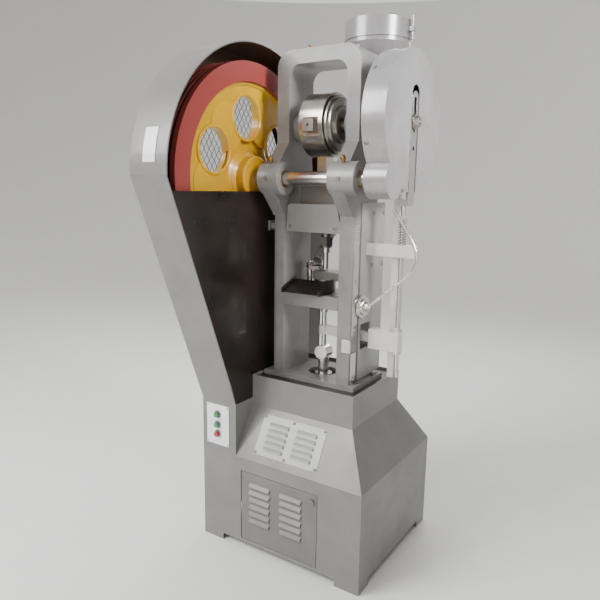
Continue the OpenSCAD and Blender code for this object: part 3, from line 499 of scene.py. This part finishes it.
def tube(path: np.ndarray, radius: float, sides: int = 16,
         up: tuple[float, float, float] = (0.0, 1.0, 0.0)) -> Shell:
    """Carries a circle along a path, with its ends drawn in to a point.

    Args:
        path: Points along the middle of the tube.
        radius: The tube's radius.
        sides: Points round the tube.
        up: A direction that the path never runs along.

    Returns:
        The tube's shell.
    """
    tangent = np.gradient(path, axis=0)
    tangent /= np.linalg.norm(tangent, axis=1, keepdims=True)
    side = np.cross(np.asarray(up, float), tangent)
    side /= np.linalg.norm(side, axis=1, keepdims=True)
    over = np.cross(tangent, side)
    angle = np.linspace(0, 2 * math.pi, sides, endpoint=False)
    size = np.full(len(path), radius)
    size[0] = size[-1] = 0.0
    ring = np.cos(angle)[None, :, None] * side[:, None] + np.sin(angle)[None, :, None] * over[:, None]
    return grid_shell(path[:, None] + size[:, None, None] * ring, closed_v=True)


def smooth_path(points: list[tuple[float, float, float]], count: int = 120) -> np.ndarray:
    """Draws a Catmull-Rom curve, each span weighted by the four points round it.

    Args:
        points: The points that the curve passes through.
        count: How many points the curve gets.

    Returns:
        The curve's points.
    """
    raw = np.array([points[0]] + list(points) + [points[-1]], float)
    where = np.linspace(0, len(points) - 1.0001, count)
    span = where.astype(int)
    t = (where - span)[:, None]
    p0, p1, p2, p3 = (raw[span + k] for k in range(4))
    square, cube = 2 * p0 - 5 * p1 + 4 * p2 - p3, 3 * p1 - p0 - 3 * p2 + p3
    return 0.5 * (2 * p1 + (p2 - p0) * t + square * t**2 + cube * t**3)


def mesh_of(name: str, shell: Shell, outward: bool) -> bpy.types.Mesh:
    """Makes a smooth mesh from a shell, with the points that coincide merged.

    Args:
        name: The mesh's name.
        shell: Its points and faces.
        outward: Whether its faces are turned to look outward.

    Returns:
        The mesh.
    """
    mesh = bpy.data.meshes.new(name)
    mesh.from_pydata(shell.points.tolist(), [], shell.faces.tolist())
    joined = bmesh.new()
    joined.from_mesh(mesh)
    bmesh.ops.remove_doubles(joined, verts=joined.verts, dist=MERGE)
    if outward:
        bmesh.ops.recalc_face_normals(joined, faces=joined.faces)
    joined.to_mesh(mesh)
    joined.free()
    mesh.shade_smooth()
    return mesh


def put(name: str, shells: list[Shell], finish: Finish, body: str,
        stands_for: tuple[str, ...] = ()) -> bpy.types.Object:
    """Joins shells into one object, dresses it, and makes it ride on a body.

    Args:
        name: The piece's name.
        shells: Its closed surfaces.
        finish: Its finish.
        body: The body that carries it.
        stands_for: CAD nodes that it replaces.

    Returns:
        The new object.
    """
    offsets = np.cumsum([0] + [len(s.points) for s in shells[:-1]])
    points = np.concatenate([s.points for s in shells])
    faces = np.concatenate([s.faces + o for s, o in zip(shells, offsets)])
    mesh = mesh_of(name, Shell(points, faces), True)
    mesh.set_sharp_from_angle(angle=SHARP)
    obj = bpy.data.objects.new(name, mesh)
    bpy.context.scene.collection.objects.link(obj)
    mesh.materials.append(material_of(finish))
    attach(obj, body)
    if stands_for:
        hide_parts(*stands_for)
    log.info("%s: %d faces on %s", name, len(mesh.polygons), body)
    return obj


def screw_head(centre: tuple[float, float, float], direction: tuple[float, float, float], radius: float,
               height: float, hexagon: bool = False) -> list[Shell]:
    """Makes a domed or a hexagon screw head on a thin washer.

    The dome's profile is a quarter ellipse; the hexagon has a chamfered top.

    Args:
        centre: Where the head meets its surface.
        direction: The outward direction.
        radius: The head's radius.
        height: The head's height.
        hexagon: Whether the head is a hexagon.

    Returns:
        The washer's shell and the head's.
    """
    washer = lathe([(0.0, 0), (radius * 1.45, 0), (radius * 1.5, height * 0.12), (radius * 1.3, height * 0.24),
                    (0.0, height * 0.24)], centre, direction, 24)
    if hexagon:
        profile = [(0.0, 0), (radius, 0), (radius, height * 0.86), (radius * 0.86, height), (0.0, height)]
        return [washer, lathe(profile, centre, direction, 36, 6)]
    a = np.linspace(0, math.pi / 2, 7)
    profile = [(0.0, 0.0)] + [(float(radius * math.cos(v)), float(height * (0.3 + 0.7 * math.sin(v)))) for v in a]
    return [washer, lathe(profile, centre, direction, 28)]


# ---------------------------------------------------------------- sub-assemblies


@dataclass
class Castings:
    """The carried-over CAD nodes, each of which gets its finish."""

    def dress(self) -> None:
        """Gives every visible CAD node its material."""
        for finish, nodes in NODE_FINISHES.items():
            for node in nodes:
                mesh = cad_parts[node].data
                mesh.materials.clear()
                mesh.materials.append(material_of(finish))
        log.info("%d CAD nodes dressed", sum(len(nodes) for nodes in NODE_FINISHES.values()))


@dataclass
class GuardWindow:
    """The woven wire window in the flywheel guard's outer wall."""

    x: float = -0.3635
    axis_y: float = WHEEL_Y
    axis_z: float = WHEEL_Z
    radius: float = 0.379
    pitch: float = 0.024
    wire: float = 0.0013
    lean: float = math.radians(33)

    def wires(self, sign: int) -> list[Shell]:
        """Builds one family of wires.

        Each wire is a chord of the window, at a multiple of the pitch from the centre. It waves
        in and out by one wire's thickness, as a sine of the distance along it.

        Args:
            sign: 1 or -1, for the two ways that the wires lean.

        Returns:
            One shell for each wire.
        """
        count = int(self.radius / self.pitch)
        shift = np.arange(-count, count + 1) * self.pitch
        half = np.sqrt(np.maximum(self.radius**2 - shift**2, 1e-6))
        t = np.linspace(-1, 1, 90)
        along = half[:, None] * t[None]
        direction = np.array([math.sin(self.lean) * sign, math.cos(self.lean)])
        across = np.array([direction[1], -direction[0]])
        flat = along[..., None] * direction + shift[:, None, None] * across
        wave = self.wire * 0.9 * sign * np.sin(along / self.pitch * math.pi)
        angle = np.linspace(0, 2 * math.pi, 6, endpoint=False)
        middle = np.stack([self.x + wave, self.axis_y + flat[..., 0], self.axis_z + flat[..., 1]], -1)
        out = np.array([1.0, 0.0, 0.0])
        side = np.array([0.0, across[0], across[1]])
        ring = self.wire * (np.cos(angle)[:, None] * out + np.sin(angle)[:, None] * side)
        taper = np.ones(len(t))
        taper[0] = taper[-1] = 0.0
        points = middle[:, :, None] + taper[None, :, None, None] * ring
        return [grid_shell(p, closed_v=True) for p in points]

    def build(self) -> None:
        """Builds both families and the clamping ring, in place of the CAD disc."""
        ring = lathe([(0.376, 0.0), (0.396, 0.0), (0.397, 0.002), (0.395, 0.0032), (0.378, 0.0032),
                      (0.3755, 0.002), (0.376, 0.0)], (-0.365, self.axis_y, self.axis_z), (1, 0, 0), 160)
        put("guard_wire_mesh", self.wires(1) + self.wires(-1) + [ring], WIRE, "frame",
            ("guard_mesh",))


@dataclass
class WheelTrim:
    """Raised lips round the flywheel's holes and fillets at its hub and rim."""

    axis_y: float = WHEEL_Y
    axis_z: float = WHEEL_Z
    face_x: float = -0.244
    hole_circle: float = 0.228
    hole_r: float = 0.0845
    lip_r: float = 0.0062
    holes: int = 6
    first: float = math.radians(25)
    # Radius, place along X and section radius of the fillets at the hub and at the rim.
    fillets: tuple[tuple[float, float, float], ...] = ((0.0865, -0.262, 0.016), (0.3555, -0.246, 0.012))

    @staticmethod
    def torus(radius: float, size: float, centre: tuple[float, float, float], steps: int) -> Shell:
        """Carries a small circle round an axis along X.

        Args:
            radius: The distance from the axis to the small circle's centre.
            size: The small circle's radius.
            centre: The torus's centre.
            steps: Points round the axis.

        Returns:
            The torus's shell.
        """
        angle = np.linspace(0, 2 * math.pi, 10, endpoint=False)
        section = [(radius + size * math.cos(a), size * math.sin(a)) for a in angle]
        return lathe(section + section[:1], centre, (1, 0, 0), steps)

    def build(self) -> None:
        """Builds a torus round each hole, and one each at the hub and the rim."""
        shells = []
        for i in range(self.holes):
            a = self.first + i * math.pi / 3
            centre = (self.face_x, self.axis_y - self.hole_circle * math.cos(a),
                      self.axis_z + self.hole_circle * math.sin(a))
            shells.append(self.torus(self.hole_r, self.lip_r, centre, 56))
        for radius, x, size in self.fillets:
            shells.append(self.torus(radius, size, (x, self.axis_y, self.axis_z), 120))
        put("flywheel_lips", shells, WHEEL, "drive_set")


@dataclass
class SideMotion:
    """The coil spring on the lift rod and the bent lever beside it."""

    rod_x: float = 0.344
    rod_y: float = -0.011
    spring_low: float = 1.252
    spring_high: float = 1.338
    coil_r: float = 0.0138
    wire_r: float = 0.0018
    turns: int = 9
    rocker: tuple[float, float, float] = (0.206, -0.055, 1.012)
    rocker_r: float = 0.044
    bar_r: float = 0.0055
    # The bent bar's way out and up from the rocker, in X and Z.
    bends: tuple[tuple[float, float], ...] = (
        (0.028, 0.0), (0.045, 0.010), (0.110, 0.064), (0.190, 0.132), (0.217, 0.170), (0.222, 0.208),
        (0.200, 0.262), (0.162, 0.318), (0.128, 0.366))

    def build(self) -> None:
        """Builds the helix and the lever."""
        t = np.linspace(0, 1, self.turns * 20)
        turn = 2 * math.pi * self.turns * t
        height = self.spring_low + (self.spring_high - self.spring_low) * t
        path = np.stack([self.rod_x + self.coil_r * np.cos(turn), self.rod_y + self.coil_r * np.sin(turn),
                         height], -1)
        put("coil_spring", [tube(path, self.wire_r, 8, (0, 0, 1))], MILLED, "frame",
            ("lift_spring",))
        self.lever()

    def lever(self) -> None:
        """Builds the rocker's stacked discs and a smooth bent bar, in place of the CAD lever."""
        x, y, z = self.rocker
        r = self.rocker_r
        profile = [(0.0, 0.001), (r - 0.002, 0.001), (r, 0.003), (r, 0.010), (r - 0.003, 0.012), (0.034, 0.0125),
                   (0.034, 0.022), (0.032, 0.024), (0.020, 0.0245), (0.020, 0.032), (0.018, 0.034), (0.0, 0.034)]
        hub = lathe(profile, (x, y, z), (1, 0, 0), 72)
        stub = lathe([(0.0, -0.033), (0.008, -0.033), (0.008, 0.002), (0.0, 0.002)], (x, y, z), (1, 0, 0), 32)
        boss = lathe([(0.0, 0), (0.009, 0), (0.009, 0.012), (0.007, 0.014), (0.0, 0.014)],
                     (x + 0.026, y - 0.014, z - 0.004), (0.75, 0, 0.35), 28)
        bar = tube(smooth_path([(x + out, y - 0.014, z + up) for out, up in self.bends]), self.bar_r, 16)
        nut = screw_head((x + 0.034, y, z), (1, 0, 0), 0.008, 0.007, True)
        put("bent_lever", [hub, stub, boss, bar] + nut, BRIGHT_Z, "lever", ("feed_lever",))


@dataclass
class Hardware:
    """Screws, rivets, oil cups and a rim bead on the fixed covers."""

    gear_y: float = -0.011
    gear_z: float = 1.684
    screw_circle: float = 0.246
    panel_lean: float = math.atan2(110, 185)
    rim_x: float = -0.1975
    rim_r: float = 0.4905

    def covers(self) -> None:
        """Puts screws round the gear guard, on the slide cover and on the side wall."""
        heads: list[Shell] = []
        for a in np.radians([20, 75, 140, 200, 250, 335]):
            y, z = self.gear_y + self.screw_circle * math.cos(a), self.gear_z + self.screw_circle * math.sin(a)
            heads += screw_head((0.302, y, z), (0, math.cos(a), math.sin(a)), 0.005, 0.004)
        for x in (-0.082, 0.116):
            heads += screw_head((x, -0.113, 1.304), (0, -1, 0), 0.0045, 0.003)
        for z in (1.16, 1.36):
            for y in (0.03, 0.115):
                heads += screw_head((0.206, y, z), (1, 0, 0), 0.006, 0.004)
        put("cover_screws", heads, MILLED, "frame")

    def plates(self) -> None:
        """Rivets the control plate's corners and screws down the louvre panel."""
        rivets: list[Shell] = []
        for x in (-0.340, -0.238):
            for z in (0.424, 0.582):
                rivets += screw_head((x, -0.314, z), (0, -1, 0), 0.0022, 0.0015)
        lean = self.panel_lean
        out = (0.0, -math.cos(lean), math.sin(lean))
        for x in (-0.112, 0.022, 0.162):
            for v in (0.038, 0.182):
                centre = (x, -0.312 + v * math.sin(lean) + 0.0022 * out[1],
                          0.392 + v * math.cos(lean) + 0.0022 * out[2])
                rivets += screw_head(centre, out, 0.004, 0.0025)
        put("plate_rivets", rivets, MILLED, "frame")

    def oil_cups(self) -> None:
        """Stands a ball-lidded oil cup on each shaft boss and on top of the arch."""
        spots = [((-0.122, -0.185, 1.541), (0, -0.4, 1)), ((0.188, -0.185, 1.541), (0, -0.4, 1)),
                 ((-0.06, -0.03, 1.955), (0, 0, 1))]
        profile = [(0.0, -0.002), (0.006, -0.002), (0.006, 0.008), (0.0095, 0.010), (0.0095, 0.020),
                   (0.008, 0.023), (0.004, 0.026), (0.0, 0.027)]
        cups = [lathe(profile, centre, out, 32) for centre, out in spots]
        put("oil_cups", cups, BRONZE, "frame")

    def trims(self) -> None:
        """Rolls a bead along the guard's rim: up the front, over the top and down the back."""
        t = np.linspace(0, math.pi, 90)
        x, r = self.rim_x, self.rim_r
        arc = np.stack([np.full_like(t, x), WHEEL_Y - r * np.cos(t), WHEEL_Z + r * np.sin(t)], -1)
        front = np.linspace([x, -0.3105, 0.612], [x, -0.6515, 1.480], 12)
        back = np.linspace([x, 0.3295, 1.480], [x, 0.3105, 0.612], 12)
        path = np.concatenate([front, arc, back])
        put("guard_rim_bead", [tube(path, 0.0028, 10, (1, 0, 0))], GUARD, "frame")

    def build(self) -> None:
        """Builds all the hardware."""
        self.covers()
        self.plates()
        self.oil_cups()
        self.trims()


@dataclass
class Buttons:
    """Dished caps over the three push buttons, and their ring nuts."""

    x: float = -0.2885
    face_y: float = -0.325
    heights: tuple[float, float, float] = (0.548, 0.505, 0.466)

    def build(self) -> None:
        """Builds a dished cap on each button and a twelve-sided ring nut round it."""
        names = (("start", GREEN, "green_cap"), ("jog", GREEN, "green_cap"), ("stop", RED, "red_cap"))
        for (name, finish, slot), z in zip(names, self.heights):
            profile = [(0.0, 0.0), (0.0098, 0.0), (0.0102, 0.002), (0.0098, 0.0036), (0.0085, 0.0042),
                       (0.004, 0.0034), (0.0, 0.0031)]
            cap = lathe(profile, (self.x, self.face_y, z), (0, -1, 0), 48)
            put(f"{name}_cap", [cap], finish, f"{name}_push")
        section = [(0.0107, 0.0), (0.0158, 0.0), (0.0162, 0.0015), (0.0150, 0.0046), (0.0112, 0.0052),
                   (0.0107, 0.0)]
        rings = [lathe(section, (self.x, -0.314, z), (0, -1, 0), 60, 12) for z in self.heights]
        put("button_rings", rings, MILLED, "frame")


@dataclass
class Studio:
    """Floor, soft lights and the camera."""

    lens_mm: float = 35.63
    place: tuple[float, float, float] = (1.2224, -2.0404, 1.450)
    yaw: float = math.radians(33.048)
    pitch: float = math.radians(10.671)
    roll: float = math.radians(0.892)
    flat_r: float = 7.0
    edge_r: float = 15.0
    bowl: float = 0.1

    def camera(self) -> None:
        """Sets the camera from its yaw, pitch and roll."""
        ahead = Vector((-math.sin(self.yaw) * math.cos(self.pitch), math.cos(self.yaw) * math.cos(self.pitch),
                        -math.sin(self.pitch)))
        right = Vector((math.cos(self.yaw), math.sin(self.yaw), 0))
        up = right.cross(ahead)
        turned = math.cos(self.roll) * right + math.sin(self.roll) * up
        top = -math.sin(self.roll) * right + math.cos(self.roll) * up
        matrix = Matrix((turned, top, -ahead)).transposed().to_4x4()
        matrix.translation = Vector(self.place)
        data = bpy.data.cameras.new("camera")
        data.lens = self.lens_mm
        data.sensor_width = 36
        data.clip_end = 60
        cam = bpy.data.objects.new("camera", data)
        cam.matrix_world = matrix
        bpy.context.scene.collection.objects.link(cam)
        bpy.context.scene.camera = cam

    def light(self, name: str, place: tuple[float, float, float], target: tuple[float, float, float],
              size: float, watts: float, spread: float = 180) -> None:
        """Hangs one square area light and points it at a target.

        Args:
            name: The lamp's name.
            place: Where it hangs.
            target: The point that it faces.
            size: Its side, in metres.
            watts: Its power.
            spread: The angle of its beam, in degrees.
        """
        data = bpy.data.lights.new(name, "AREA")
        data.size = size
        data.energy = watts
        data.spread = math.radians(spread)
        lamp = bpy.data.objects.new(name, data)
        lamp.location = place
        lamp.rotation_euler = (Vector(target) - Vector(place)).to_track_quat("-Z", "Y").to_euler()
        bpy.context.scene.collection.objects.link(lamp)

    def floor(self) -> None:
        """Lays a round pale floor whose edge curves up like a bowl.

        The height is the bowl's rate times the square of the distance past the flat middle.
        """
        radius = np.concatenate([[0.0], np.linspace(0.5, self.flat_r, 8), np.linspace(7.4, self.edge_r, 24)])
        turn = np.linspace(0, 2 * math.pi, 96, endpoint=False)
        rise = self.bowl * np.maximum(radius - self.flat_r, 0) ** 2
        points = np.stack([radius[:, None] * np.cos(turn), radius[:, None] * np.sin(turn),
                           np.broadcast_to(rise[:, None], (len(radius), len(turn)))], -1)
        mesh = mesh_of("floor", grid_shell(points, closed_v=True), False)
        mesh.materials.append(material_of(STAGE))
        obj = bpy.data.objects.new("floor", mesh)
        bpy.context.scene.collection.objects.link(obj)

    def sky(self, tree: bpy.types.NodeTree) -> None:
        """Makes the room bright on the left and behind, and dim on the right, by the direction's X.

        Args:
            tree: The world's node tree.
        """
        back = tree.nodes["Background"]
        back.inputs["Color"].default_value = (1.0, 0.995, 0.985, 1.0)
        way = add_node(tree, "ShaderNodeTexCoord")
        split = add_node(tree, "ShaderNodeSeparateXYZ", {}, {0: way.outputs["Generated"]})
        dim = add_node(tree, "ShaderNodeMapRange",
                       {"From Min": 0.05, "From Max": 0.6, "To Min": 0.95, "To Max": 0.22},
                       {"Value": split.outputs["X"]})
        tree.links.new(dim.outputs["Result"], back.inputs["Strength"])

    def build(self) -> None:
        """Sets up the whole studio."""
        self.camera()
        self.floor()
        world = bpy.data.worlds.new("studio")
        bpy.context.scene.world = world
        world.use_nodes = True
        self.sky(world.node_tree)
        self.light("key", (-2.2, -3.4, 3.6), (0, 0, 1.1), 2.4, 260)
        self.light("fill", (0.6, -3.6, 1.6), (0, 0, 1.0), 1.6, 24)
        self.light("right_high", (2.2, -0.4, 2.5), (0.37, 0, 1.72), 0.8, 7, 34)
        self.light("back", (-0.5, 3.2, 3.2), (0, 0, 1.4), 2.0, 60)


def main() -> None:
    """Builds the studio, dresses the CAD nodes and adds each sub-assembly."""
    logging.basicConfig(level=logging.INFO, format="%(name)s: %(message)s")
    Studio().build()
    Castings().dress()
    for part in (GuardWindow(), WheelTrim(), SideMotion(), Hardware(), Buttons()):
        part.build()


if __name__ == "__main__":
    main()
